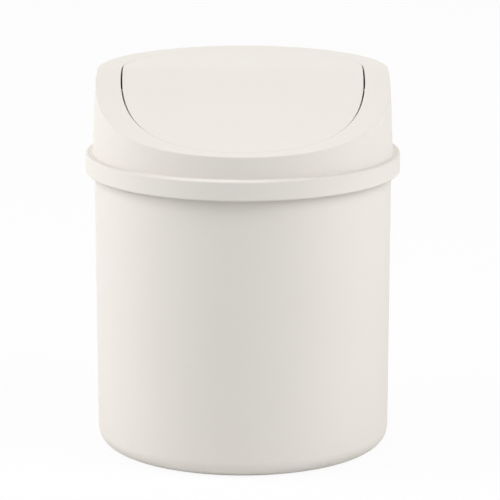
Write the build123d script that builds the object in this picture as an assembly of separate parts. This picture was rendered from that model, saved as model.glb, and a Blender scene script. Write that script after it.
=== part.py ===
"""Small round countertop bin with a swing flap in its lid.

Three mouldings in light plastic: a bucket, a lid that slips over its rim, and a flap that swings on two
stub pins moulded onto it. The origin is the centre of the underside, +Z is up and -Y is the front, where
the swept top is lowest. Sizes are in millimetres.
"""

from build123d import *
from math import cos, radians, sin, sqrt, tan
import os

# Overall size
BODY_DIAMETER = 130.0
TOTAL_HEIGHT = 167.0
WALL = 1.6

# Bucket
BASE_DIAMETER = 128.5
BASE_ROUND = 7.5
FLOOR = 2.0
FOOT_RING_DIAMETER = 106.0
FOOT_RECESS = 0.8
RIM_DIAMETER = 133.8
RIM_THICKNESS = 2.0

# Lid: collar, hood wall and the way they sit on the bucket
COLLAR_DIAMETER = 137.6
COLLAR_BOTTOM = 122.5
COLLAR_TOP = 131.0
COLLAR_ROUND = 0.9
COLLAR_FOOT_ROUND = 0.8
HOOD_BASE_DIAMETER = 131.1
HOOD_BEND_DIAMETER = 129.5
HOOD_BEND_HEIGHT = 152.0
HOOD_TOP_DIAMETER = 127.5
LID_SEAT_GAP = 0.2

# Swept top, seen from the side: flat at the back, then a crest arc, a short straight slope and a dip arc
# down to the front lip
FLAT_START_Y = 9.4
CREST_RADIUS = 12.0
STEEPEST_SLOPE = 29.6
SLOPE_LENGTH = 12.5
DIP_RADIUS = 147.6
TOP_EDGE_ROUND = 0.5

# Opening in the top, seen from above: half an ellipse in front, nearly half a circle behind. The slit
# around the flap is widest at the sides, beside the hinge.
OPENING_HALF_WIDTH = 53.25
OPENING_FRONT = 59.5
OPENING_BACK = 54.75
SIDE_GAP = 0.9
FRONT_GAP = 0.25
BACK_GAP = 0.25
FLAP_EDGE_DEPTH = 2.6
SLIT_CHAMFER = 0.2
SMALL_CHAMFER = 0.4

# Seat under the flap's back edge, which stops it flush with the top
SEAT_START_Y = 26.0
SEAT_WIDTH = 3.0
SEAT_THICKNESS = 1.4
FLAP_SEAT_GAP = 0.2

# Hinge: stub pins on the flap turn in ears under the side borders of the opening. The pins are in front of
# the flap's centre of mass, so the heavier back half closes it.
PIN_DIAMETER = 3.6
PIN_CLEARANCE = 0.07
PIN_Y = -5.0
PIN_HEIGHT = 157.3
PIN_TIP_CHAMFER = 0.8
LUG_RADIUS = 3.8
LUG_THICKNESS = 2.0
LUG_OUTER_X = 51.6
EAR_RADIUS = 4.4
EAR_THICKNESS = 2.2
EAR_INNER_X = 53.9
EAR_RIB_THICKNESS = 1.2
EAR_RIB_DEPTH = 7.0

# Reach of the cutting solids past the object, and how near two sizes are when they count as the same
BEYOND = 15.0
CLOSE = 0.01


def side_profile(sink):
    """Region under the swept top, seen from the side, with the top sunk by an even depth."""
    outward = Vector(0, 1).rotate(Axis.Z, STEEPEST_SLOPE)
    downhill = Vector(-1, 0).rotate(Axis.Z, STEEPEST_SLOPE)
    crest_centre = Vector(FLAT_START_Y, TOTAL_HEIGHT - CREST_RADIUS)
    dip_centre = crest_centre + outward * (CREST_RADIUS + DIP_RADIUS) + downhill * SLOPE_LENGTH
    back = BODY_DIAMETER / 2 + BEYOND
    bottom = COLLAR_BOTTOM - BEYOND

    flat = Line((back, TOTAL_HEIGHT - sink), (FLAT_START_Y, TOTAL_HEIGHT - sink))
    crest = CenterArc(crest_centre, CREST_RADIUS - sink, 90, STEEPEST_SLOPE)
    slope = Line(crest @ 1, (crest @ 1) + downhill * SLOPE_LENGTH)
    dip = CenterArc(dip_centre, DIP_RADIUS + sink, STEEPEST_SLOPE - 90, -STEEPEST_SLOPE)
    front = dip @ 1
    sides = Polyline(front, (-back, front.Y), (-back, bottom), (back, bottom), flat @ 0)
    return Plane.YZ * make_face([flat, crest, slope, dip, sides])


def under_top(sink):
    """Solid space under the swept top."""
    return extrude(side_profile(sink), amount=BODY_DIAMETER / 2 + BEYOND, both=True)


def top_height(y):
    """Height of the swept top at a distance behind the centre."""
    slope = radians(STEEPEST_SLOPE)
    crest_end_y = FLAT_START_Y - CREST_RADIUS * sin(slope)
    crest_end_z = TOTAL_HEIGHT - CREST_RADIUS * (1 - cos(slope))
    dip_start_y = crest_end_y - SLOPE_LENGTH * cos(slope)
    dip_start_z = crest_end_z - SLOPE_LENGTH * sin(slope)
    if y >= FLAT_START_Y:
        return TOTAL_HEIGHT
    if y >= crest_end_y:
        return TOTAL_HEIGHT - CREST_RADIUS + sqrt(CREST_RADIUS**2 - (FLAT_START_Y - y) ** 2)
    if y >= dip_start_y:
        return crest_end_z - (crest_end_y - y) * tan(slope)
    lowest_y = dip_start_y - DIP_RADIUS * sin(slope)
    dip_centre_z = dip_start_z + DIP_RADIUS * cos(slope)
    return dip_centre_z - sqrt(DIP_RADIUS**2 - (y - lowest_y) ** 2)


def is_on_top(point):
    """Whether a point lies on the swept top."""
    return abs(point.Z - top_height(point.Y)) < CLOSE


def opening_outline(widen):
    """Half width, front reach and back reach of the opening seen from above, widened evenly."""
    return OPENING_HALF_WIDTH + widen, OPENING_FRONT + widen, OPENING_BACK + widen


def flap_outline(shrink):
    """Half width, front reach and back reach of the flap seen from above, drawn in evenly."""
    half_width = OPENING_HALF_WIDTH - SIDE_GAP - shrink
    front = OPENING_FRONT - FRONT_GAP - shrink
    back = OPENING_BACK - BACK_GAP - shrink
    return half_width, front, back


def column(outline):
    """Upright column on an outline, from inside the hood to above it."""
    half_width, front, back = outline
    front_edge = EllipticalCenterArc((0, 0), half_width, front, 180, arc_size=180)
    back_edge = EllipticalCenterArc((0, 0), half_width, back, 0, arc_size=180)
    base = Plane.XY.offset(COLLAR_TOP) * make_face([front_edge, back_edge])
    return extrude(base, amount=TOTAL_HEIGHT - COLLAR_TOP + BEYOND)


def outline_edges(part, outline):
    """Edges where an outline meets the swept top."""
    half_width, front, back = outline

    def is_on_outline(edge):
        middle = edge @ 0.5
        reach = back if middle.Y > 0 else front
        across = middle.X / half_width
        along = middle.Y / reach
        return abs(across**2 + along**2 - 1) < CLOSE and is_on_top(middle)

    return part.edges().filter_by(is_on_outline)


def rim_edges(part):
    """Edges where the hood's wall meets the swept top."""

    def is_on_rim(edge):
        middle = edge @ 0.5
        return Vector(middle.X, middle.Y).length > OPENING_FRONT and is_on_top(middle)

    return part.edges().filter_by(is_on_rim)


def hood_profile(inset):
    """Half section of the solid hood, from the collar's top to past the rim, drawn in by a wall."""
    base = (HOOD_BASE_DIAMETER / 2 - inset, COLLAR_TOP - inset)
    bend = (HOOD_BEND_DIAMETER / 2 - inset, HOOD_BEND_HEIGHT)
    top = (HOOD_TOP_DIAMETER / 2 - inset, TOTAL_HEIGHT)
    wall = Line(base, bend)
    crown = TangentArc(bend, top, tangent=wall % 1)
    past_top = Line(top, (top[0], TOTAL_HEIGHT + BEYOND))
    back = Polyline(past_top @ 1, (0, TOTAL_HEIGHT + BEYOND), (0, base[1]), base)
    return Plane.XZ * make_face([wall, crown, past_top, back])


def ring_edges(part, diameter, height):
    """Full-circle edges of a diameter at a height."""

    def is_the_ring(edge):
        return abs(edge.radius - diameter / 2) < CLOSE and abs(edge.arc_center.Z - height) < CLOSE

    return part.edges().filter_by(GeomType.CIRCLE).filter_by(is_the_ring)


def make_bucket():
    """Tapered bucket with a rounded bottom edge, a foot ring and an out-turned rim under the collar."""
    rim_top = COLLAR_TOP - WALL - LID_SEAT_GAP
    rim_bottom = rim_top - RIM_THICKNESS
    body = loft([
        Circle(BASE_DIAMETER / 2),
        Plane.XY.offset(rim_top) * Circle(BODY_DIAMETER / 2),
    ])
    body = fillet(ring_edges(body, BASE_DIAMETER, 0), BASE_ROUND)
    inside = loft([
        Plane.XY.offset(FLOOR) * Circle(BASE_DIAMETER / 2 - WALL),
        Plane.XY.offset(rim_top) * Circle(BODY_DIAMETER / 2 - WALL),
    ])
    inside = fillet(ring_edges(inside, BASE_DIAMETER - 2 * WALL, FLOOR), BASE_ROUND - WALL)
    rim = Pos(0, 0, rim_bottom) * extrude(Circle(RIM_DIAMETER / 2), RIM_THICKNESS)
    recess = extrude(Circle(FOOT_RING_DIAMETER / 2), FOOT_RECESS)

    bucket = body + rim - inside - recess
    rim_rings = ring_edges(bucket, RIM_DIAMETER, rim_top) + ring_edges(bucket, RIM_DIAMETER, rim_bottom)
    return chamfer(rim_rings, SMALL_CHAMFER)


def make_ear():
    """Bearing ear under the right border of the opening, with two ribs out to the hood wall."""
    ear_plane = Plane((EAR_INNER_X, PIN_Y, PIN_HEIGHT), x_dir=(0, 1, 0), z_dir=(1, 0, 0))
    rise = TOTAL_HEIGHT - PIN_HEIGHT
    outline = Circle(EAR_RADIUS) + Pos(0, rise / 2) * Rectangle(2 * EAR_RADIUS, rise)
    ear = extrude(ear_plane * outline, EAR_THICKNESS)
    rib_length = HOOD_BASE_DIAMETER / 2 - EAR_INNER_X
    rib_offset = EAR_RADIUS - EAR_RIB_THICKNESS / 2
    for rib_y in (PIN_Y - rib_offset, PIN_Y + rib_offset):
        rib_centre = Pos(EAR_INNER_X + rib_length / 2, rib_y, TOTAL_HEIGHT - EAR_RIB_DEPTH)
        ear += rib_centre * Box(rib_length, EAR_RIB_THICKNESS, 2 * EAR_RIB_DEPTH)
    return ear


def make_bore():
    """Space for a running pin, through the right ear and a little way into the border above it."""
    start_plane = Plane((LUG_OUTER_X, PIN_Y, PIN_HEIGHT), x_dir=(0, 1, 0), z_dir=(1, 0, 0))
    length = EAR_INNER_X + EAR_THICKNESS + 2 * PIN_TIP_CHAMFER - LUG_OUTER_X
    return extrude(start_plane * Circle(PIN_DIAMETER / 2 + PIN_CLEARANCE), length)


def make_back_seat():
    """Ledge under the flap's back edge, hung from the border of the opening by a short wall."""
    ledge_top = FLAP_EDGE_DEPTH + FLAP_SEAT_GAP
    ledge_bottom = ledge_top + SEAT_THICKNESS
    wall_ring = column(opening_outline(WALL)) - column(opening_outline(0))
    ledge_ring = column(opening_outline(WALL)) - column(opening_outline(-SEAT_WIDTH))
    hanging_wall = (under_top(WALL / 2) - under_top(ledge_bottom)) & wall_ring
    ledge = (under_top(ledge_top) - under_top(ledge_bottom)) & ledge_ring
    reach = BODY_DIAMETER
    back_half = Pos(0, SEAT_START_Y + reach / 2, TOTAL_HEIGHT) * Box(reach, reach, reach)
    return (hanging_wall + ledge) & back_half


def make_lid_hood():
    """Collar, hood wall, swept top with its opening, the back seat and the two bearing ears."""
    hood = revolve(hood_profile(0), Axis.Z)
    collar = Pos(0, 0, COLLAR_BOTTOM) * extrude(Circle(COLLAR_DIAMETER / 2), COLLAR_TOP - COLLAR_BOTTOM)
    solid = (hood + collar) & under_top(0)
    solid = fillet(ring_edges(solid, COLLAR_DIAMETER, COLLAR_TOP), COLLAR_ROUND)
    solid = fillet(ring_edges(solid, COLLAR_DIAMETER, COLLAR_BOTTOM), COLLAR_FOOT_ROUND)
    solid = fillet(rim_edges(solid), TOP_EDGE_ROUND)

    inside = revolve(hood_profile(WALL), Axis.Z) & under_top(WALL)
    socket_depth = COLLAR_TOP - WALL - COLLAR_BOTTOM
    socket = Pos(0, 0, COLLAR_BOTTOM) * extrude(Circle(COLLAR_DIAMETER / 2 - WALL), socket_depth)

    shell = solid - inside - socket - column(opening_outline(0))
    shell = chamfer(outline_edges(shell, opening_outline(0)), SLIT_CHAMFER)
    ear = make_ear() & inside
    bore = make_bore()
    hood = shell + ear + mirror(ear, Plane.YZ) + make_back_seat()
    return hood - bore - mirror(bore, Plane.YZ)


def make_flap_plate():
    """Swept plate with a slightly deeper stiffening edge all round."""
    skin = (under_top(0) - under_top(WALL)) & column(flap_outline(0))
    edge_ring = column(flap_outline(0)) - column(flap_outline(WALL))
    edge = (under_top(0) - under_top(FLAP_EDGE_DEPTH)) & edge_ring
    plate = skin + edge
    return chamfer(outline_edges(plate, flap_outline(0)), SLIT_CHAMFER)


def make_swing_flap():
    """Plate with two lugs below its side edges and a stub pin on each."""
    plate = make_flap_plate()
    lug_plane = Plane((LUG_OUTER_X - LUG_THICKNESS, PIN_Y, PIN_HEIGHT), x_dir=(0, 1, 0), z_dir=(1, 0, 0))
    rise = TOTAL_HEIGHT - PIN_HEIGHT
    outline = Circle(LUG_RADIUS) + Pos(0, rise / 2) * Rectangle(2 * LUG_RADIUS, rise)
    lug = extrude(lug_plane * outline, LUG_THICKNESS) & under_top(WALL / 2) & column(flap_outline(0))
    pin_length = EAR_INNER_X + EAR_THICKNESS + PIN_TIP_CHAMFER - LUG_OUTER_X + LUG_THICKNESS / 2
    pin_plane = lug_plane.offset(LUG_THICKNESS / 2)
    pin = extrude(pin_plane * Circle(PIN_DIAMETER / 2), pin_length)
    pin = chamfer(pin.edges().sort_by(Axis.X)[-1], PIN_TIP_CHAMFER)
    lug += pin
    return plate + lug + mirror(lug, Plane.YZ)


def main():
    pieces = {
        "bucket": make_bucket(),
        "lid_hood": make_lid_hood(),
        "swing_flap": make_swing_flap(),
    }
    os.makedirs("parts", exist_ok=True)
    for name, piece in pieces.items():
        export_step(piece, f"parts/{name}.step")
        centre = piece.center(CenterOf.MASS)
        print(f"{name}: {len(piece.solids())} solid, {piece.volume:.0f} mm3")
        print(f"  centre of mass at y {centre.Y:.2f}, z {centre.Z:.2f}")


main()
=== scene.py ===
# %% [markdown]
# # A countertop bin with a swing flap
# The real object is three mouldings in one cream plastic: a slightly tapered bucket, a lid that slips over
# the bucket's rim, and a flap that swings in the lid's opening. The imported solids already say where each
# of them sits, so the scene starts by loading them as a fixed frame, and every new mesh is made in that
# frame. Blender works in metres while small household things are thought of in millimetres, so one
# constant turns one into the other.

# %% Load the frame
import math

import bmesh
import bpy
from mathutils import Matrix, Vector


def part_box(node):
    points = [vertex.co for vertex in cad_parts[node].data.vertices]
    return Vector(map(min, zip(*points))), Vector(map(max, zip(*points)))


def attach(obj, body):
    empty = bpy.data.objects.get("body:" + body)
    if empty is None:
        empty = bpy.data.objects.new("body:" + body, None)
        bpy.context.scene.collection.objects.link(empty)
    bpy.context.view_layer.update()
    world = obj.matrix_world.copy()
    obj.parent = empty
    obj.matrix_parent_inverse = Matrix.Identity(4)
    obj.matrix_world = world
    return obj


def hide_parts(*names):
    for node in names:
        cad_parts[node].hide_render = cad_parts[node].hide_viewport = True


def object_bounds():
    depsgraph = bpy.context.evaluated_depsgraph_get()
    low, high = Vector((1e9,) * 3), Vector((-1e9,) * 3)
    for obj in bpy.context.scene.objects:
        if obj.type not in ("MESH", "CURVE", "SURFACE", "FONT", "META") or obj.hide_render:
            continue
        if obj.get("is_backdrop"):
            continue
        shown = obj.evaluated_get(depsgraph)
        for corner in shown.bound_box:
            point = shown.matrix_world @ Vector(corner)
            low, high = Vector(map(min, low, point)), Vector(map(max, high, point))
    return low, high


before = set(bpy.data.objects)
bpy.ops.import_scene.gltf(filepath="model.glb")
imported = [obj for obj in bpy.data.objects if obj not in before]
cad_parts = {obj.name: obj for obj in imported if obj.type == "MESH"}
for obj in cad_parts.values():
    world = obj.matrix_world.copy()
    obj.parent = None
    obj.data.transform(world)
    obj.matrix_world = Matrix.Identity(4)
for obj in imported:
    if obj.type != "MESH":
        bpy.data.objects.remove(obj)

cad_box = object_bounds()
MM = 0.001


def in_mm(box):
    """The two corners of a box in mm, rounded for print."""
    return [[round(c / MM, 2) for c in corner] for corner in box]


print("CAD box in mm:", in_mm(cad_box))

# %% [markdown]
# ## The camera
# A product photograph of something this small is taken from far off with a long lens, so that upright
# sides stay almost parallel. The camera could be placed by eye, but the width of the bucket near its top
# and near its bottom, and how round the collar looks, settle its distance, height and tilt. It stands
# 1.4 m away and looks down by about 13 degrees. The slit around the flap sits a little to the right of
# the wall's own middle, which says that the camera stands half a degree to the left of straight ahead.
# The last small turn puts the bin as far from the middle of the picture as it is in the photograph.

# %% Camera
CAMERA_DISTANCE = 1.4
CAMERA_HEIGHT = 0.4054
CAMERA_TILT_DOWN = 12.846
CAMERA_ORBIT = math.radians(0.5)
CAMERA_TURN = math.radians(0.127)
CAMERA_LENS = 234.43

camera_data = bpy.data.cameras.new("camera")
camera_data.lens = CAMERA_LENS
camera = bpy.data.objects.new("camera", camera_data)
camera.location = (
    -CAMERA_DISTANCE * math.sin(CAMERA_ORBIT), -CAMERA_DISTANCE * math.cos(CAMERA_ORBIT), CAMERA_HEIGHT
)
camera.rotation_euler = (math.radians(90 - CAMERA_TILT_DOWN), 0, -CAMERA_ORBIT - CAMERA_TURN)
bpy.context.scene.collection.objects.link(camera)
bpy.context.scene.camera = camera
print("camera at", [round(c, 3) for c in camera.location], "lens", CAMERA_LENS)

# %% [markdown]
# ## The swept top as a formula
# Seen from the side, the lid is flat at the back, rolls over a tight crest into a short straight slope,
# and a long shallow arc carries it down to a low front lip. Lid and flap are both cut by this one sheet,
# and both are hollow, so the same formula also gives the sheet sunk by an even depth: the crest's arc gets
# smaller by that depth and the dip's arc larger, around the same centres. A formula beats a sculpted
# surface here, because hood and flap must agree to a tenth of a millimetre along the slit between them.

# %% Swept top
TOP = 167.0
FLAT_START_Y = 9.4
CREST_RADIUS = 12.0
STEEPEST_SLOPE = math.radians(29.6)
SLOPE_LENGTH = 12.5
DIP_RADIUS = 147.6
WALL = 1.6

outward = Vector((-math.sin(STEEPEST_SLOPE), math.cos(STEEPEST_SLOPE)))
downhill = Vector((-math.cos(STEEPEST_SLOPE), -math.sin(STEEPEST_SLOPE)))
CREST_CENTRE = Vector((FLAT_START_Y, TOP - CREST_RADIUS))
DIP_CENTRE = CREST_CENTRE + outward * (CREST_RADIUS + DIP_RADIUS) + downhill * SLOPE_LENGTH


def swept_top(y, sink=0.0):
    """Height of the swept top in mm at y, or of the sheet an even depth below it."""
    crest_end = CREST_CENTRE + outward * (CREST_RADIUS - sink)
    dip_start = crest_end + downhill * SLOPE_LENGTH
    if y >= FLAT_START_Y:
        return TOP - sink
    if y >= crest_end.x:
        return CREST_CENTRE.y + math.sqrt((CREST_RADIUS - sink) ** 2 - (FLAT_START_Y - y) ** 2)
    if y >= dip_start.x:
        return crest_end.y - (crest_end.x - y) * math.tan(STEEPEST_SLOPE)
    return DIP_CENTRE.y - math.sqrt((DIP_RADIUS + sink) ** 2 - (y - DIP_CENTRE.x) ** 2)


print("top height at the back, middle and front:", [round(swept_top(y), 1) for y in (60, 0, -60)])

# %% [markdown]
# ## The opening and its slit
# Seen from above, the opening is half an ellipse in front and a rounder half behind. The flap is a little
# smaller, with a slit that is open at the sides, where the hinge needs room, and closes to a hairline
# before it turns across the front and the back. A smoothstep, which starts and ends level, fades it
# without a kink. Both are given as a function of the direction around the bin, with zero to the right, so
# that a lathed ring can be moved onto them.

# %% Opening and slit
OPENING_HALF_WIDTH = 53.25
OPENING_FRONT = 59.5
OPENING_BACK = 54.75
SIDE_GAP = 0.74
END_GAP = 0.15
FRONT_FADE = (math.radians(15), math.radians(45))
BACK_FADE = (0.0, math.radians(18))


def opening_reach(angle):
    """How far the opening reaches to the front or to the back, whichever the direction points to."""
    return OPENING_BACK if math.sin(angle) > 0 else OPENING_FRONT


def opening_radius(angle):
    """Distance from the axis to the opening's outline in one direction."""
    reach = opening_reach(angle)
    across, along = reach * math.cos(angle), OPENING_HALF_WIDTH * math.sin(angle)
    return OPENING_HALF_WIDTH * reach / math.hypot(across, along)


def slit_width(angle):
    """Width of the slit between hood and flap in one direction."""
    start, end = BACK_FADE if math.sin(angle) > 0 else FRONT_FADE
    from_side = abs(math.asin(math.sin(angle)))
    share = min(max((end - from_side) / (end - start), 0), 1)
    return END_GAP + (SIDE_GAP - END_GAP) * share**2 * (3 - 2 * share)


print("slit in mm every 15 degrees from the side to the front:",
      [round(slit_width(-math.radians(step)), 2) for step in range(0, 91, 15)])

# %% [markdown]
# ## The hood's wall
# Above the collar the wall leans in a little and then curls in more near the top. The curl is an arc that
# starts in line with the straight wall below it, so its radius follows from the point where it ends. The
# height at which the wall meets the sweep depends on the wall's radius, and that radius on the height, so
# the two are worked out in turns until they agree.

# %% Hood wall
COLLAR_RADIUS = 68.8
COLLAR_BOTTOM = 122.5
COLLAR_TOP = 131.0
WALL_BASE = Vector((65.55, 131.0))
WALL_BEND = Vector((64.75, 152.0))
WALL_TOP = Vector((63.75, 167.0))
MEETING_TURNS = 12

bend_inward = Vector((WALL_BASE.y - WALL_BEND.y, WALL_BEND.x - WALL_BASE.x)).normalized()
bend_to_top = WALL_TOP - WALL_BEND
CURL_RADIUS = bend_to_top.length_squared / (2 * bend_to_top.dot(bend_inward))
CURL_CENTRE = WALL_BEND + bend_inward * CURL_RADIUS


def wall_radius(z):
    """Outer radius of the hood's wall at a height."""
    if z <= WALL_BEND.y:
        share = (z - WALL_BASE.y) / (WALL_BEND.y - WALL_BASE.y)
        return WALL_BASE.x + share * (WALL_BEND.x - WALL_BASE.x)
    return CURL_CENTRE.x + math.sqrt(CURL_RADIUS**2 - (z - CURL_CENTRE.y) ** 2)


def wall_end(angle, inset=0.0):
    """Radius and height where the wall, drawn in by an inset, meets the top sunk by the same inset."""
    z = TOP
    for _ in range(MEETING_TURNS):
        radius = wall_radius(z) - inset
        z = swept_top(radius * math.sin(angle), inset)
    return radius, z


print("wall curls in on a radius of", round(CURL_RADIUS, 1), "mm")
print("lip height at the front:", round(wall_end(-math.pi / 2)[1], 2), "mm")

# %% [markdown]
# ## A lathe for round mouldings
# Round mouldings are easiest to make as on a lathe: draw half of the cut section and spin it about the
# upright axis. Every point of the section remembers its number in a small integer layer, and the spin
# copies it, so that whole rings can be found again later, to be reshaped or to get a rounded edge. Where a
# section starts and ends on the axis, its poles are merged. Normals are made to point outwards once the
# doubled points are gone.

# %% Lathe
STEPS = 256
MERGE_DISTANCE = 0.001


def draw_section(bm, section, closed):
    """Draw a section of (radius, height) points in mm, numbered in the layer called ring."""
    ring = bm.verts.layers.int.new("ring")
    points = []
    for number, (radius, height) in enumerate(section):
        point = bm.verts.new((radius * MM, 0, height * MM))
        point[ring] = number
        points.append(point)
    following = points[1:] + points[:1] if closed else points[1:]
    return points + [bm.edges.new(pair) for pair in zip(points, following)]


def lathe(section):
    """Spin a section about Z. It is closed unless it starts and ends on the axis."""
    bm = bmesh.new()
    ends_on_axis = section[0][0] == 0 and section[-1][0] == 0
    drawn = draw_section(bm, section, not ends_on_axis)
    bmesh.ops.spin(
        bm, geom=drawn, cent=(0, 0, 0), axis=(0, 0, 1), angle=math.tau, steps=STEPS, use_merge=True
    )
    bmesh.ops.remove_doubles(bm, verts=bm.verts, dist=MERGE_DISTANCE * MM)
    bmesh.ops.recalc_face_normals(bm, faces=bm.faces)
    return bm


print("lathe ready,", STEPS, "steps to a turn")

# %% [markdown]
# ## Rings and rounded edges
# A moulded edge is never perfectly sharp, and its small round is what catches the light. Bevel makes it:
# the rings to round are named by their numbers, with the width in millimetres and how many strips the
# round gets. All the edges of one piece are looked up before the first is rounded, because the points that
# a bevel adds carry ring numbers too.

# %% Ring helpers
def ring_edges(bm, number):
    """All edges of one ring."""
    ring = bm.verts.layers.int["ring"]
    return [edge for edge in bm.edges if all(vert[ring] == number for vert in edge.verts)]


def round_edges(bm, edges, width, segments):
    """Round edges off by a width in mm."""
    bmesh.ops.bevel(
        bm, geom=edges, offset=width * MM, offset_type="OFFSET", affect="EDGES",
        segments=segments, profile=0.5, material=-1, clamp_overlap=True,
    )


def round_rings(bm, rounds):
    """Round rings off, given as (ring numbers, width in mm, segments)."""
    found = [[edge for number in rings for edge in ring_edges(bm, number)] for rings, _, _ in rounds]
    for edges, (_, width, segments) in zip(found, rounds):
        round_edges(bm, edges, width, segments)


def lay_rings(bm, rings, place):
    """Move each point of a lathed shape to the place in mm of its ring in its direction."""
    ring = bm.verts.layers.int["ring"]
    for vert in bm.verts:
        angle = math.atan2(vert.co.y, vert.co.x)
        vert.co = place(*rings[vert[ring]], angle) * MM


print("ring helpers ready")

# %% [markdown]
# ## Finishing a piece
# A finished mesh is shaded smooth, apart from edges that turn by more than 50 degrees. Weighted normals
# let the large faces decide the shading, so that a narrow round beside them doesn't make them look bent.
# Then the piece is tied to the frame: it rides on its body, and the CAD node it stands for is hidden.
# Its box is printed beside the node's, because the two should agree.

# %% Finish a piece
SHARP_ANGLE = math.radians(50)


def finish_piece(name, bm, body, node):
    """Turn a bmesh into a smooth piece that rides on its body, and hide the CAD node it stands for."""
    mesh = bpy.data.meshes.new(name)
    bm.to_mesh(mesh)
    bm.free()
    mesh.shade_smooth()
    mesh.set_sharp_from_angle(angle=SHARP_ANGLE)
    piece = bpy.data.objects.new(name, mesh)
    bpy.context.scene.collection.objects.link(piece)
    weighted = piece.modifiers.new("even shading", "WEIGHTED_NORMAL")
    weighted.keep_sharp = True
    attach(piece, body)
    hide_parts(node)
    columns = list(zip(*(vert.co for vert in mesh.vertices)))
    box = [[pick(column) for column in columns] for pick in (min, max)]
    print(name, "faces:", len(mesh.polygons), "box in mm:", in_mm(box))
    print("  CAD node:", in_mm(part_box(node)))
    return piece


print("pieces are sharp above", round(math.degrees(SHARP_ANGLE)), "degrees")

# %% [markdown]
# ## The bucket
# The bucket is one thin wall all round, a touch wider at the top so that it slips off its mould, with a
# softly rounded bottom edge. It stands on a foot ring around a shallow recess, which keeps a moulded floor
# from rocking, and an out-turned rim stiffens its mouth under the lid's collar. Its section is drawn once
# from the middle of the underside, out and up over the rim, and back down to the middle of the floor.
# The sharp corners become curves with a bevel, because that keeps the section short and easy to read.

# %% Bucket
BASE_RADIUS = 64.25
MOUTH_RADIUS = 65.0
MOUTH_HEIGHT = 129.2
RIM_RADIUS = 66.9
RIM_THICKNESS = 2.0
FOOT_RADIUS = 53.0
FOOT_RECESS = 0.8
FLOOR = 2.0

rim_under = MOUTH_HEIGHT - RIM_THICKNESS
radius_under_rim = BASE_RADIUS + (MOUTH_RADIUS - BASE_RADIUS) * rim_under / MOUTH_HEIGHT
bucket_section = [
    (0, FOOT_RECESS),
    (FOOT_RADIUS, FOOT_RECESS),
    (FOOT_RADIUS, 0),
    (BASE_RADIUS, 0),
    (radius_under_rim, rim_under),
    (RIM_RADIUS, rim_under),
    (RIM_RADIUS, MOUTH_HEIGHT),
    (MOUTH_RADIUS - WALL, MOUTH_HEIGHT),
    (BASE_RADIUS - WALL, FLOOR),
    (0, FLOOR),
]
bucket_rounds = [
    ([3], 7.5, 12),  # bottom edge
    ([8], 5.9, 10),  # inside, where the wall meets the floor
    ([1, 2, 5, 6, 7], 0.35, 3),  # foot ring and rim
]
bm = lathe(bucket_section)
round_rings(bm, bucket_rounds)
bucket = finish_piece("bucket_moulding", bm, "bucket", "bucket")

# %% [markdown]
# ## The hood
# The lid's hood is the piece that takes the most care: a collar, a short wall, and a top that sweeps down
# like an S, with a large opening whose edge lies on that same sweep. Cutting a cylinder with booleans would
# leave ragged triangles along the rim, and they show as soon as the plastic catches a soft light. So the
# hood is lathed with plain rings first, and then each ring is moved to its true place: wall rings share
# out the height up to the sweep, deck rings share out the way from the rim to the opening and are laid on
# the sweep, and a second set does the same for the inside, one wall thickness lower. The quads stay in
# neat rows, so the rounded rim runs evenly around. The hinge pins lie so close under the side borders that
# the underside is hollowed by a little over half its thickness above each of them.

# %% Hood rings
SOCKET_RADIUS = COLLAR_RADIUS - WALL
WALL_SHARES = (0.0, 0.2, 0.4, 0.6, 0.8)
DECK_SHARES = (0.0, 0.25, 0.5, 0.75, 1.0)
PIN_HOLLOW_Y = -5.65
PIN_HOLLOW_DEPTH = 0.85
PIN_HOLLOW_REACH = 2.9
PIN_HOLLOW_FADE = 1.4
PIN_HOLLOW_START = 0.4

hood_rings = [("collar", COLLAR_RADIUS, COLLAR_BOTTOM), ("collar", COLLAR_RADIUS, COLLAR_TOP)]
hood_rings += [("wall", share, 0) for share in WALL_SHARES]
hood_rings += [("deck", share, 0) for share in DECK_SHARES]
hood_rings += [("deck", share, WALL) for share in reversed(DECK_SHARES)]
hood_rings += [("wall", share, WALL) for share in reversed(WALL_SHARES)]
hood_rings += [("collar", SOCKET_RADIUS, COLLAR_TOP - WALL), ("collar", SOCKET_RADIUS, COLLAR_BOTTOM)]


def pin_hollow(share, y):
    """How far the border's underside is lifted to clear a hinge pin."""
    reach = min(max((PIN_HOLLOW_REACH - abs(y - PIN_HOLLOW_Y)) / PIN_HOLLOW_FADE, 0), 1)
    return PIN_HOLLOW_DEPTH * reach if share > PIN_HOLLOW_START else 0


def hood_point(kind, first, second, angle):
    """Radius and height of a hood ring in one direction."""
    if kind == "collar":
        return first, second
    end_radius, end_height = wall_end(angle, second)
    if kind == "wall":
        base = COLLAR_TOP - second
        height = base + first * (end_height - base)
        return wall_radius(height) - second, height
    radius = end_radius + first * (opening_radius(angle) - end_radius)
    y = radius * math.sin(angle)
    lift = pin_hollow(first, y) if second > 0 else 0
    return radius, swept_top(y, second) + lift


def hood_place(kind, first, second, angle):
    """Place of a hood ring's point in one direction."""
    radius, height = hood_point(kind, first, second, angle)
    return Vector((radius * math.cos(angle), radius * math.sin(angle), height))


print(len(hood_rings), "rings in the hood")

# %% Hood
bm = lathe([hood_point(*ring, 0) for ring in hood_rings])
lay_rings(bm, hood_rings, hood_place)
wall_foot = 2
rim = wall_foot + len(WALL_SHARES)
lip = rim + len(DECK_SHARES) - 1
socket_foot = len(hood_rings) - 1
hood_rounds = [
    ([1], 0.9, 6),  # top of the collar
    ([rim], 0.5, 5),
    ([wall_foot], 0.4, 3),
    ([0], 0.8, 5),  # foot of the collar
    ([lip], 0.1, 2),
    ([lip + 1, socket_foot], 0.3, 2),
]
round_rings(bm, hood_rounds)
print("hood shell:", len(bm.faces), "faces, open edges:", sum(edge.is_boundary for edge in bm.edges))

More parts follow.
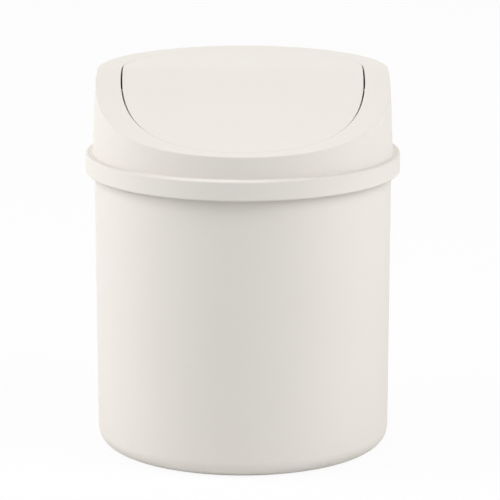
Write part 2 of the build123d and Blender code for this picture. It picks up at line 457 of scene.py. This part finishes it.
# %% [markdown]
# ## The ledge that stops the flap
# Below the back edge of the opening hangs a short wall with a ledge, and the flap's back edge comes down
# on it when the top is flush. Its section is an L, spun only through the back and then laid along the
# opening's outline. The open ends of such a part turn are closed with a face. A fifth of a millimetre of
# play keeps the two meshes from touching.

# %% Back ledge
LEDGE_START_Y = 26.0
LEDGE_STEPS = 96
LEDGE_WIDTH = 3.0
LEDGE_THICKNESS = 1.4
LEDGE_PLAY = 0.2
FLAP_EDGE_DEPTH = 2.6

ledge_top = FLAP_EDGE_DEPTH + LEDGE_PLAY
ledge_bottom = ledge_top + LEDGE_THICKNESS
ledge_section = [
    (0, WALL / 2),
    (0, ledge_top),
    (LEDGE_WIDTH, ledge_top),
    (LEDGE_WIDTH, ledge_bottom),
    (-WALL, ledge_bottom),
    (-WALL, WALL / 2),
]


def ledge_place(shrink, sink, share):
    """Place of a ledge ring's point at a share of the way round the back."""
    reach = OPENING_BACK - shrink
    start = math.asin(LEDGE_START_Y / reach)
    turn = start + share * (math.pi - 2 * start)
    y = reach * math.sin(turn)
    return Vector(((OPENING_HALF_WIDTH - shrink) * math.cos(turn), y, swept_top(y, sink)))


def make_back_ledge():
    """Spin the L section half a turn and lay it under the back of the opening."""
    bm = bmesh.new()
    section = [(OPENING_HALF_WIDTH - shrink, TOP - sink) for shrink, sink in ledge_section]
    drawn = draw_section(bm, section, True)
    bmesh.ops.spin(bm, geom=drawn, cent=(0, 0, 0), axis=(0, 0, 1), angle=math.pi, steps=LEDGE_STEPS)
    ends = [edge for edge in bm.edges if edge.is_boundary]
    bmesh.ops.holes_fill(bm, edges=ends, sides=len(ledge_section))
    ring = bm.verts.layers.int["ring"]
    for vert in bm.verts:
        share = math.atan2(max(vert.co.y, 0), vert.co.x) / math.pi
        vert.co = ledge_place(*ledge_section[vert[ring]], share) * MM
    bmesh.ops.recalc_face_normals(bm, faces=bm.faces)
    round_rings(bm, [([2, 3, 4], 0.25, 2)])
    return bm


def add_to(whole, part):
    """Add one bmesh to another."""
    mesh = bpy.data.meshes.new("part")
    part.to_mesh(mesh)
    part.free()
    whole.from_mesh(mesh)
    bpy.data.meshes.remove(mesh)


add_to(bm, make_back_ledge())
print("with the ledge:", len(bm.faces), "faces")

# %% [markdown]
# ## Discs on the hinge line
# The flap turns on two stub pins moulded onto lugs below its side edges. Each pin runs in a round hole in
# an ear that hangs from the hood. Ear and lug are alike: a thick disc with rounded edges, whose upper half
# is drawn up into the sheet above it. The outline is rounded while it is still a full circle, because the
# bevel stays even there, and only then is its upper half drawn up.

# %% Hinge discs
PIN_Y = -5.0
PIN_HEIGHT = 157.3
DISC_STEPS = 64
DISC_ROUND = 0.25
OUTLINE_SHARE = 0.9
NEAR = 0.01


def upright_circle(bm, radius, x):
    """Circle around the hinge line, in a plane across it."""
    made = bmesh.ops.create_circle(bm, segments=DISC_STEPS, radius=radius * MM)["verts"]
    for vert in made:
        vert.co = Vector((x * MM, PIN_Y * MM + vert.co.x, PIN_HEIGHT * MM + vert.co.y))
    return made


def thicken(bm, faces, thickness):
    """Extrude flat faces along X."""
    made = bmesh.ops.extrude_face_region(bm, geom=faces, use_keep_orig=True)["geom"]
    moved = [item for item in made if isinstance(item, bmesh.types.BMVert)]
    bmesh.ops.translate(bm, verts=moved, vec=(thickness * MM, 0, 0))
    bmesh.ops.recalc_face_normals(bm, faces=bm.faces)


def from_pin(vert):
    """Distance from the hinge line in mm."""
    return math.hypot(vert.co.y / MM - PIN_Y, vert.co.z / MM - PIN_HEIGHT)


def round_and_draw_up(bm, radius):
    """Round a thick disc's outline, then lift its upper half into the sheet above it."""
    outline = [
        edge for edge in bm.edges
        if all(from_pin(vert) > radius - NEAR for vert in edge.verts)
        and abs(edge.verts[0].co.x - edge.verts[1].co.x) < NEAR * MM
    ]
    round_edges(bm, outline, DISC_ROUND, 2)
    for vert in bm.verts:
        if from_pin(vert) > OUTLINE_SHARE * radius and vert.co.z > (PIN_HEIGHT + NEAR) * MM:
            vert.co.z = swept_top(vert.co.y / MM, WALL / 2) * MM


print("hinge line", PIN_Y, "mm from the axis and", PIN_HEIGHT, "mm up")

# %% [markdown]
# ## The bearing ears
# The ear is the ring between a circle and its hole, joined with bridge_loops, so the hole is truly open
# and the pin can be seen in it. Two ribs brace it to the wall. They are a hair thinner than their full
# 1.2 mm and start a tenth of a millimetre behind the ear's inner face, so that no two faces share a plane.
# One ear is made on the right, and a mirrored copy with its faces turned back outwards stands on the left.

# %% Ears and ribs
HOLE_RADIUS = 1.87
EAR_RADIUS = 4.4
EAR_INNER_X = 53.9
EAR_THICKNESS = 2.2
RIB_THICKNESS = 1.2
RIB_THINNER = 0.02
RIB_SET_BACK = 0.1
RIB_FOOT = 153.0
RIB_END_X = 63.0
RIB_ROUND = 0.25


def add_rib(bm, rib_y):
    """Rib from the ear to the wall, with a rounded foot."""
    rib = bmesh.ops.create_cube(bm, size=1)["verts"]
    for vert in rib:
        x = RIB_END_X if vert.co.x > 0 else EAR_INNER_X + RIB_SET_BACK
        y = rib_y + vert.co.y * (RIB_THICKNESS - RIB_THINNER)
        z = swept_top(y, WALL / 2) if vert.co.z > 0 else RIB_FOOT
        vert.co = Vector((x, y, z)) * MM
    low = {vert for vert in rib if vert.co.z < (RIB_FOOT + NEAR) * MM}
    round_edges(bm, [edge for edge in bm.edges if low.issuperset(edge.verts)], RIB_ROUND, 2)


def make_ear():
    """Ear with its hole and two ribs, on the right."""
    bm = bmesh.new()
    upright_circle(bm, EAR_RADIUS, EAR_INNER_X)
    upright_circle(bm, HOLE_RADIUS, EAR_INNER_X)
    faces = bmesh.ops.bridge_loops(bm, edges=bm.edges)["faces"]
    thicken(bm, faces, EAR_THICKNESS)
    round_and_draw_up(bm, EAR_RADIUS)
    rib_offset = EAR_RADIUS - RIB_THICKNESS / 2
    for rib_y in (PIN_Y - rib_offset, PIN_Y + rib_offset):
        add_rib(bm, rib_y)
    return bm


def add_both_sides(whole, part):
    """Add a part and its mirror image across the middle."""
    bmesh.ops.recalc_face_normals(part, faces=part.faces)
    copied = bmesh.ops.duplicate(part, geom=part.verts[:] + part.edges[:] + part.faces[:])["geom"]
    verts = [item for item in copied if isinstance(item, bmesh.types.BMVert)]
    faces = [item for item in copied if isinstance(item, bmesh.types.BMFace)]
    bmesh.ops.scale(part, vec=(-1, 1, 1), verts=verts)
    bmesh.ops.reverse_faces(part, faces=faces)
    add_to(whole, part)


add_both_sides(bm, make_ear())
lid_hood = finish_piece("hood_moulding", bm, "lid", "lid_hood")

# %% [markdown]
# ## The flap
# The flap is a plate with a slightly deeper edge all round, and it continues the hood's sweep with nothing
# but the slit between them. It is lathed as rings that grow from the middle, and each ring is then
# stretched to the opening's outline and laid on the sweep. Its underside is the same sheet one wall
# thickness lower, so the plate has the even thickness of a real moulding.

# %% Flap plate
PLATE_RINGS = 18
PLATE_SHARES = [step / PLATE_RINGS for step in range(PLATE_RINGS + 1)]

flap_rings = [(share, 0, 0) for share in PLATE_SHARES]
flap_rings += [(1, 0, FLAP_EDGE_DEPTH), (1, WALL, FLAP_EDGE_DEPTH)]
flap_rings += [(share, WALL, WALL) for share in reversed(PLATE_SHARES)]
flap_rounds = [
    ([PLATE_RINGS], 0.1, 2),  # upper edge
    ([PLATE_RINGS + 1, PLATE_RINGS + 2], 0.25, 2),  # foot of the deeper edge
]


def flap_place(share, shrink, sink, angle):
    """Place on a flap ring in one direction, drawn in by the slit and the ring's own shrink."""
    inset = slit_width(angle) + shrink
    x = share * (OPENING_HALF_WIDTH - inset) * math.cos(angle)
    y = share * (opening_reach(angle) - inset) * math.sin(angle)
    return Vector((x, y, swept_top(y, sink)))


bm = lathe([(share * (OPENING_HALF_WIDTH - shrink), TOP - sink) for share, shrink, sink in flap_rings])
lay_rings(bm, flap_rings, flap_place)
round_rings(bm, flap_rounds)
print("flap plate:", len(bm.faces), "faces, open edges:", sum(edge.is_boundary for edge in bm.edges))

# %% [markdown]
# ## Lugs and pins
# A lug is a smaller disc than the ear and hangs from the flap about 2 mm further in, and its stub pin
# reaches out through the ear's hole. The pin starts inside the lug, so that the two join with no gap, and
# its rounded tip is what would let the flap be snapped into its ears.

# %% Lugs and pins
LUG_RADIUS = 3.8
LUG_INNER_X = 49.6
LUG_THICKNESS = 2.0
PIN_RADIUS = 1.8
PIN_START_X = 50.6
PIN_END_X = 56.9
PIN_TIP_ROUND = 0.8


def add_disc(bm, radius, x, thickness):
    """Thick disc around the hinge line."""
    circle = upright_circle(bm, radius, x)
    face = bmesh.ops.contextual_create(bm, geom=circle)["faces"]
    thicken(bm, face, thickness)


def make_lug():
    """Lug with its stub pin, on the right."""
    bm = bmesh.new()
    add_disc(bm, LUG_RADIUS, LUG_INNER_X, LUG_THICKNESS)
    round_and_draw_up(bm, LUG_RADIUS)
    add_disc(bm, PIN_RADIUS, PIN_START_X, PIN_END_X - PIN_START_X)
    tip = [edge for edge in bm.edges if all(vert.co.x > (PIN_END_X - NEAR) * MM for vert in edge.verts)]
    round_edges(bm, tip, PIN_TIP_ROUND, 4)
    return bm


add_both_sides(bm, make_lug())
flap = finish_piece("flap_moulding", bm, "flap", "swing_flap")

# %% [markdown]
# ## Shader maths as plain expressions
# Blender's shader nodes do sums one node at a time, which is slow to wire and hard to read. A small class
# wraps a number socket, so that an expression such as 0.4 + 0.1 * grain adds its Math nodes itself. The
# reflected forms let a plain number stand on the left.

# %% Sums on sockets
class Amount:
    """A number socket that can be used in sums."""

    def __init__(self, wiring, socket):
        self.wiring = wiring
        self.socket = socket

    def maths(self, operation, first, second):
        """Add a Math node."""
        made = self.wiring.node("ShaderNodeMath", {"operation": operation}, {0: first, 1: second})
        return Amount(self.wiring, made.outputs[0])

    def __add__(self, other):
        return self.maths("ADD", self, other)

    def __radd__(self, other):
        return self.maths("ADD", other, self)

    def __mul__(self, other):
        return self.maths("MULTIPLY", self, other)

    def __rmul__(self, other):
        return self.maths("MULTIPLY", other, self)

    def at_most(self, limit):
        """The amount, or the limit where that is smaller."""
        return self.maths("MINIMUM", self, limit)


print("sums ready")

# %% [markdown]
# ## Nodes from one method
# Every other node, in a material or in the world, comes from one method. It takes the node's type, then
# its settings, and then what goes into its sockets, either a value or a link. A finish is such a wiring
# with a Principled shader and the piece's own Object coordinates at hand.

# %% Wiring and finishes
class Wiring:
    """Adds nodes to a node tree and links them."""

    def __init__(self, tree):
        self.tree = tree
        tree.nodes.clear()

    def node(self, kind, settings=None, inputs=None):
        """Add a node: its settings first, then a value or a link for each named socket."""
        made = self.tree.nodes.new(kind)
        for key, value in (settings or {}).items():
            setattr(made, key, value)
        for key, value in (inputs or {}).items():
            self.feed(self.find(made, key), value)
        return made

    def find(self, made, key):
        """Input socket by number, or by name among those in use."""
        if isinstance(key, int):
            return made.inputs[key]
        return next(socket for socket in made.inputs if socket.name == key and socket.enabled)

    def feed(self, socket, value):
        """Set a socket to a value, or link it."""
        if isinstance(value, Amount):
            value = value.socket
        if isinstance(value, bpy.types.NodeSocket):
            self.tree.links.new(value, socket)
        else:
            socket.default_value = value


class Finish(Wiring):
    """A procedural material with one Principled shader."""

    def __init__(self, name):
        self.material = bpy.data.materials.new(name)
        self.material.use_nodes = True
        super().__init__(self.material.node_tree)
        self.shader = self.node("ShaderNodeBsdfPrincipled")
        self.output = self.node("ShaderNodeOutputMaterial", {}, {"Surface": self.shader.outputs[0]})
        self.place = self.node("ShaderNodeTexCoord").outputs["Object"]

    def noise(self, size, detail=2.0, roughness=0.5):
        """Soft noise whose spots are about a size in mm, from 0 to 1 around a half."""
        made = self.node("ShaderNodeTexNoise", {"noise_dimensions": "3D"}, {
            "Vector": self.place, "Scale": 1 / (size * MM), "Detail": detail, "Roughness": roughness,
        })
        return Amount(self, made.outputs[0])

    def blend(self, share, first, second):
        """Mix two colours."""
        made = self.node("ShaderNodeMix", {"data_type": "RGBA"}, {"Factor": share, "A": first, "B": second})
        return next(socket for socket in made.outputs if socket.enabled)

    def set(self, name, value):
        """Set or link a socket of the shader."""
        self.feed(self.shader.inputs[name], value)


print("wiring ready")

# %% [markdown]
# ## Cream plastic
# All three mouldings are the same matt polypropylene, a warm cream just off white. Up close such plastic
# is never one flat colour: the melt leaves broad, very faint clouds where it flowed, and the mould's fine
# spark-eroded texture scatters the highlights. The clouds mix two creams that are only a shade apart, the
# texture is a bump of a few hundredths of a millimetre, and the roughness wanders a little so that a
# reflection never has a ruler-straight edge. The gloss is held very low. A pale plastic has little room
# left below white, and with more gloss a flat look across the lid would mirror the soft boxes as a blank
# white patch. All patterns are solid, in Object coordinates, so they run through the moulding without a
# seam and need no unwrapping.

# %% Cream plastic
CREAM = (0.775, 0.746, 0.702, 1)
CREAM_SHADE = (0.754, 0.722, 0.674, 1)
SPECK_SIZE = 0.9
PATCH_SIZE = 9.0
WAVE_SIZE = 38.0
GRAIN_DEPTH = 0.02
PLASTIC_IOR = 1.49
GLOSS_LEVEL = 0.05


def cream_plastic(name, grain_size, roughness, cloud_size):
    """Matt moulded plastic with a fine texture and faint flow clouds. Sizes are in mm."""
    finish = Finish(name)
    clouds = finish.noise(cloud_size, 3.0, 0.55)
    specks = finish.noise(SPECK_SIZE)
    finish.set("Base Color", finish.blend(0.75 * clouds + 0.25 * specks, CREAM_SHADE, CREAM))
    grain = finish.noise(grain_size, 2.0, 0.6)
    patches = finish.noise(PATCH_SIZE)
    # Both noises lie around a half, so together they add about 0.05, which is taken off first.
    finish.set("Roughness", (roughness - 0.05) + 0.06 * patches + 0.04 * grain)
    waves = finish.noise(WAVE_SIZE, 1.0)
    bump = finish.node("ShaderNodeBump", {}, {
        "Strength": 0.5, "Distance": GRAIN_DEPTH * MM, "Height": grain + 1.5 * waves,
    })
    finish.set("Normal", bump.outputs["Normal"])
    finish.set("IOR", PLASTIC_IOR)
    finish.set("Specular IOR Level", GLOSS_LEVEL)
    return finish.material


plastics = {
    bucket: cream_plastic("cream bucket plastic", 0.35, 0.71, 46.0),
    lid_hood: cream_plastic("cream hood plastic", 0.32, 0.69, 34.0),
    flap: cream_plastic("cream flap plastic", 0.32, 0.68, 30.0),
}
for piece, material in plastics.items():
    piece.data.materials.append(material)
print("materials:", [material.name for material in plastics.values()])

# %% [markdown]
# ## The floor
# The bin stands in a white product studio, on a wide pale sheet. To the camera the sheet is mostly a plain
# white glow, and only a small share of it is real lit floor, so the background is white and the bin's soft
# shadow stays in it, while the light that the floor throws back at the bin is that of an ordinary pale
# table. Light Path tells the two kinds of look apart.

# %% Floor
FLOOR_SIZE = 12.0
GLOW_SHARE = 0.92
WHITE = (1, 1, 1, 1)
PALE_GREY = (0.80, 0.80, 0.80, 1)


def shown(wiring):
    """1 for what the camera, a mirror or glass shows, and 0 for what only lights a matt surface."""
    rays = wiring.node("ShaderNodeLightPath").outputs
    camera_ray, glossy_ray = Amount(wiring, rays["Is Camera Ray"]), Amount(wiring, rays["Is Glossy Ray"])
    return (camera_ray + glossy_ray + Amount(wiring, rays["Is Transmission Ray"])).at_most(1.0)


bm = bmesh.new()
bmesh.ops.create_grid(bm, x_segments=1, y_segments=1, size=FLOOR_SIZE / 2)
mesh = bpy.data.meshes.new("floor")
bm.to_mesh(mesh)
bm.free()
floor = bpy.data.objects.new("floor", mesh)
bpy.context.scene.collection.objects.link(floor)
floor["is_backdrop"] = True

sheet = Finish("pale studio floor")
sheet.set("Base Color", PALE_GREY)
sheet.set("Roughness", 0.9)
glow = sheet.node("ShaderNodeEmission", {}, {"Color": WHITE, "Strength": 1.0}).outputs[0]
share = shown(sheet) * GLOW_SHARE
lit = sheet.node("ShaderNodeMixShader", {}, {0: share, 1: sheet.shader.outputs[0], 2: glow})
sheet.feed(sheet.output.inputs["Surface"], lit.outputs[0])
floor.data.materials.append(sheet.material)
print("floor", FLOOR_SIZE, "m wide")

# %% [markdown]
# ## The light
# Two large soft boxes hang high at the left and right and light the two sides, which leaves the middle of
# the front a little darker, as in the photograph. A weaker one behind keeps the back from going dull.
# They are placed in metres, aim at the middle of the bin, and are strong enough for the cream to look
# about as it is written, and no stronger. The world fills in the rest, and the camera sees it as white.

# %% Lamps and world
ROOM_FILL = 0.29
LAMP_AIM = Vector((0, 0, 0.09))
LAMPS = [  # name, place, width and height, watts
    ("soft box left", (-1.2, -0.17, 0.9), (0.9, 1.2), 16.8),
    ("soft box right", (1.08, -0.52, 0.9), (0.9, 1.2), 14.6),
    ("soft box behind", (0.0, 1.3, 1.0), (1.2, 1.2), 5.0),
]
for name, place, size, power in LAMPS:
    light = bpy.data.lights.new(name, "AREA")
    light.shape = "RECTANGLE"
    light.size, light.size_y = size
    light.energy = power
    lamp = bpy.data.objects.new(name, light)
    lamp.location = place
    lamp.rotation_euler = (LAMP_AIM - Vector(place)).to_track_quat("-Z", "Y").to_euler()
    bpy.context.scene.collection.objects.link(lamp)

world = bpy.data.worlds.new("studio")
bpy.context.scene.world = world
world.use_nodes = True
studio = Wiring(world.node_tree)
room = studio.node("ShaderNodeBackground", {}, {"Color": WHITE, "Strength": ROOM_FILL}).outputs[0]
backdrop = studio.node("ShaderNodeBackground", {}, {"Color": WHITE, "Strength": 1.0}).outputs[0]
choice = studio.node("ShaderNodeMixShader", {}, {0: shown(studio), 1: room, 2: backdrop}).outputs[0]
studio.node("ShaderNodeOutputWorld", {}, {"Surface": choice})
bpy.context.scene.view_settings.view_transform = "Standard"
print(len(LAMPS), "lamps, room fill", ROOM_FILL)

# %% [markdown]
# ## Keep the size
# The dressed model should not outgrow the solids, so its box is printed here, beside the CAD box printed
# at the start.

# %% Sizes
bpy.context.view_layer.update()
print("visual box in mm:", in_mm(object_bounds()))
